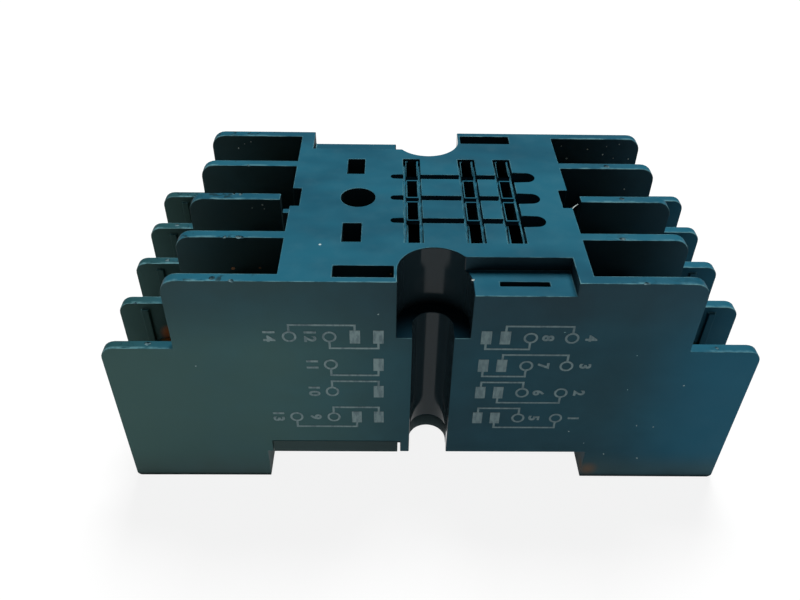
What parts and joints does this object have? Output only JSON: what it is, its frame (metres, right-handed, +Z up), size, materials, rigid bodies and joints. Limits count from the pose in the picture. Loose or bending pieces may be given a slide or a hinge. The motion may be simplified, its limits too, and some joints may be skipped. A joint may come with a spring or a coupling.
{
  "type": "relay socket",
  "caption": "Screw-terminal relay socket with a blade-slot grid, stepped terminal bays between fins, screw recesses and a notch for a 35 mm rail.",
  "frame": {"origin": "bottom centre of the housing, midway between its feet", "axes": "+X along the length, towards the pair of contact columns; +Y into the depth; +Z up, out of the relay side"},
  "size_m": [0.0676, 0.0296, 0.0291],
  "materials": {
    "housing": "satin moulded dark teal thermoplastic",
    "cover": "satin moulded dark teal thermoplastic",
    "latch": "satin moulded dark teal thermoplastic",
    "contact_brass": "rolled brass strip, dulled",
    "plated_washer": "yellow-passivated plating, dulled",
    "plated_screw": "yellow-passivated plating, dulled"
  },
  "bodies": {
    "housing": {"housing": "housing", "base_cover": "cover", "contact_1": "contact_brass", "contact_2": "contact_brass", "contact_3": "contact_brass", "contact_4": "contact_brass", "contact_5": "contact_brass", "contact_6": "contact_brass", "contact_7": "contact_brass", "contact_8": "contact_brass", "contact_9": "contact_brass", "contact_10": "contact_brass", "contact_11": "contact_brass", "contact_12": "contact_brass", "contact_13": "contact_brass", "contact_14": "contact_brass"},
    "rail_latch": {"rail_latch": "latch"},
    "clamp_1": {"clamp_washer_1": "plated_washer"},
    "screw_1": {"terminal_screw_1": "plated_screw"},
    "clamp_2": {"clamp_washer_2": "plated_washer"},
    "screw_2": {"terminal_screw_2": "plated_screw"},
    "clamp_3": {"clamp_washer_3": "plated_washer"},
    "screw_3": {"terminal_screw_3": "plated_screw"},
    "clamp_4": {"clamp_washer_4": "plated_washer"},
    "screw_4": {"terminal_screw_4": "plated_screw"},
    "clamp_5": {"clamp_washer_5": "plated_washer"},
    "screw_5": {"terminal_screw_5": "plated_screw"},
    "clamp_6": {"clamp_washer_6": "plated_washer"},
    "screw_6": {"terminal_screw_6": "plated_screw"},
    "clamp_7": {"clamp_washer_7": "plated_washer"},
    "screw_7": {"terminal_screw_7": "plated_screw"},
    "clamp_8": {"clamp_washer_8": "plated_washer"},
    "screw_8": {"terminal_screw_8": "plated_screw"},
    "clamp_9": {"clamp_washer_9": "plated_washer"},
    "screw_9": {"terminal_screw_9": "plated_screw"},
    "clamp_10": {"clamp_washer_10": "plated_washer"},
    "screw_10": {"terminal_screw_10": "plated_screw"},
    "clamp_11": {"clamp_washer_11": "plated_washer"},
    "screw_11": {"terminal_screw_11": "plated_screw"},
    "clamp_12": {"clamp_washer_12": "plated_washer"},
    "screw_12": {"terminal_screw_12": "plated_screw"},
    "clamp_13": {"clamp_washer_13": "plated_washer"},
    "screw_13": {"terminal_screw_13": "plated_screw"},
    "clamp_14": {"clamp_washer_14": "plated_washer"},
    "screw_14": {"terminal_screw_14": "plated_screw"}
  },
  "joints": [
    {"name": "latch_slide", "type": "slide", "parent": "housing", "child": "rail_latch", "axis": [-1, 0, 0], "range_m": [0, 0.0025]},
    {"name": "clamp_lift_1", "type": "slide", "parent": "housing", "child": "clamp_1", "axis": [0, 0, 1], "range_m": [0, 0.002]},
    {"name": "screw_turn_1", "type": "hinge", "parent": "clamp_1", "child": "screw_1", "pos_m": [0.0286, -0.01065, 0.0141], "axis": [0, 0, 1], "range_deg": [0, 1441]},
    {"name": "clamp_lift_2", "type": "slide", "parent": "housing", "child": "clamp_2", "axis": [0, 0, 1], "range_m": [0, 0.002]},
    {"name": "screw_turn_2", "type": "hinge", "parent": "clamp_2", "child": "screw_2", "pos_m": [0.0286, -0.00355, 0.0141], "axis": [0, 0, 1], "range_deg": [0, 1441]},
    {"name": "clamp_lift_3", "type": "slide", "parent": "housing", "child": "clamp_3", "axis": [0, 0, 1], "range_m": [0, 0.002]},
    {"name": "screw_turn_3", "type": "hinge", "parent": "clamp_3", "child": "screw_3", "pos_m": [0.0286, 0.00355, 0.0141], "axis": [0, 0, 1], "range_deg": [0, 1441]},
    {"name": "clamp_lift_4", "type": "slide", "parent": "housing", "child": "clamp_4", "axis": [0, 0, 1], "range_m": [0, 0.002]},
    {"name": "screw_turn_4", "type": "hinge", "parent": "clamp_4", "child": "screw_4", "pos_m": [0.0286, 0.01065, 0.0141], "axis": [0, 0, 1], "range_deg": [0, 1441]},
    {"name": "clamp_lift_5", "type": "slide", "parent": "housing", "child": "clamp_5", "axis": [0, 0, 1], "range_m": [0, 0.002]},
    {"name": "screw_turn_5", "type": "hinge", "parent": "clamp_5", "child": "screw_5", "pos_m": [0.0206, -0.01065, 0.0228], "axis": [0, 0, 1], "range_deg": [0, 1441]},
    {"name": "clamp_lift_6", "type": "slide", "parent": "housing", "child": "clamp_6", "axis": [0, 0, 1], "range_m": [0, 0.002]},
    {"name": "screw_turn_6", "type": "hinge", "parent": "clamp_6", "child": "screw_6", "pos_m": [0.0206, -0.00355, 0.0228], "axis": [0, 0, 1], "range_deg": [0, 1441]},
    {"name": "clamp_lift_7", "type": "slide", "parent": "housing", "child": "clamp_7", "axis": [0, 0, 1], "range_m": [0, 0.002]},
    {"name": "screw_turn_7", "type": "hinge", "parent": "clamp_7", "child": "screw_7", "pos_m": [0.0206, 0.00355, 0.0228], "axis": [0, 0, 1], "range_deg": [0, 1441]},
    {"name": "clamp_lift_8", "type": "slide", "parent": "housing", "child": "clamp_8", "axis": [0, 0, 1], "range_m": [0, 0.002]},
    {"name": "screw_turn_8", "type": "hinge", "parent": "clamp_8", "child": "screw_8", "pos_m": [0.0206, 0.01065, 0.0228], "axis": [0, 0, 1], "range_deg": [0, 1441]},
    {"name": "clamp_lift_9", "type": "slide", "parent": "housing", "child": "clamp_9", "axis": [0, 0, 1], "range_m": [0, 0.002]},
    {"name": "screw_turn_9", "type": "hinge", "parent": "clamp_9", "child": "screw_9", "pos_m": [-0.0206, -0.01065, 0.0228], "axis": [0, 0, 1], "range_deg": [0, 1441]},
    {"name": "clamp_lift_10", "type": "slide", "parent": "housing", "child": "clamp_10", "axis": [0, 0, 1], "range_m": [0, 0.002]},
    {"name": "screw_turn_10", "type": "hinge", "parent": "clamp_10", "child": "screw_10", "pos_m": [-0.0206, -0.00355, 0.0228], "axis": [0, 0, 1], "range_deg": [0, 1441]},
    {"name": "clamp_lift_11", "type": "slide", "parent": "housing", "child": "clamp_11", "axis": [0, 0, 1], "range_m": [0, 0.002]},
    {"name": "screw_turn_11", "type": "hinge", "parent": "clamp_11", "child": "screw_11", "pos_m": [-0.0206, 0.00355, 0.0228], "axis": [0, 0, 1], "range_deg": [0, 1441]},
    {"name": "clamp_lift_12", "type": "slide", "parent": "housing", "child": "clamp_12", "axis": [0, 0, 1], "range_m": [0, 0.002]},
    {"name": "screw_turn_12", "type": "hinge", "parent": "clamp_12", "child": "screw_12", "pos_m": [-0.0206, 0.01065, 0.0228], "axis": [0, 0, 1], "range_deg": [0, 1441]},
    {"name": "clamp_lift_13", "type": "slide", "parent": "housing", "child": "clamp_13", "axis": [0, 0, 1], "range_m": [0, 0.002]},
    {"name": "screw_turn_13", "type": "hinge", "parent": "clamp_13", "child": "screw_13", "pos_m": [-0.0286, -0.01065, 0.0141], "axis": [0, 0, 1], "range_deg": [0, 1441]},
    {"name": "clamp_lift_14", "type": "slide", "parent": "housing", "child": "clamp_14", "axis": [0, 0, 1], "range_m": [0, 0.002]},
    {"name": "screw_turn_14", "type": "hinge", "parent": "clamp_14", "child": "screw_14", "pos_m": [-0.0286, 0.01065, 0.0141], "axis": [0, 0, 1], "range_deg": [0, 1441]}
  ],
  "couplings": [
    {"joint": "screw_turn_1", "follows": "clamp_lift_1", "rad_per_m": 12566},
    {"joint": "screw_turn_2", "follows": "clamp_lift_2", "rad_per_m": 12566},
    {"joint": "screw_turn_3", "follows": "clamp_lift_3", "rad_per_m": 12566},
    {"joint": "screw_turn_4", "follows": "clamp_lift_4", "rad_per_m": 12566},
    {"joint": "screw_turn_5", "follows": "clamp_lift_5", "rad_per_m": 12566},
    {"joint": "screw_turn_6", "follows": "clamp_lift_6", "rad_per_m": 12566},
    {"joint": "screw_turn_7", "follows": "clamp_lift_7", "rad_per_m": 12566},
    {"joint": "screw_turn_8", "follows": "clamp_lift_8", "rad_per_m": 12566},
    {"joint": "screw_turn_9", "follows": "clamp_lift_9", "rad_per_m": 12566},
    {"joint": "screw_turn_10", "follows": "clamp_lift_10", "rad_per_m": 12566},
    {"joint": "screw_turn_11", "follows": "clamp_lift_11", "rad_per_m": 12566},
    {"joint": "screw_turn_12", "follows": "clamp_lift_12", "rad_per_m": 12566},
    {"joint": "screw_turn_13", "follows": "clamp_lift_13", "rad_per_m": 12566},
    {"joint": "screw_turn_14", "follows": "clamp_lift_14", "rad_per_m": 12566}
  ]
}
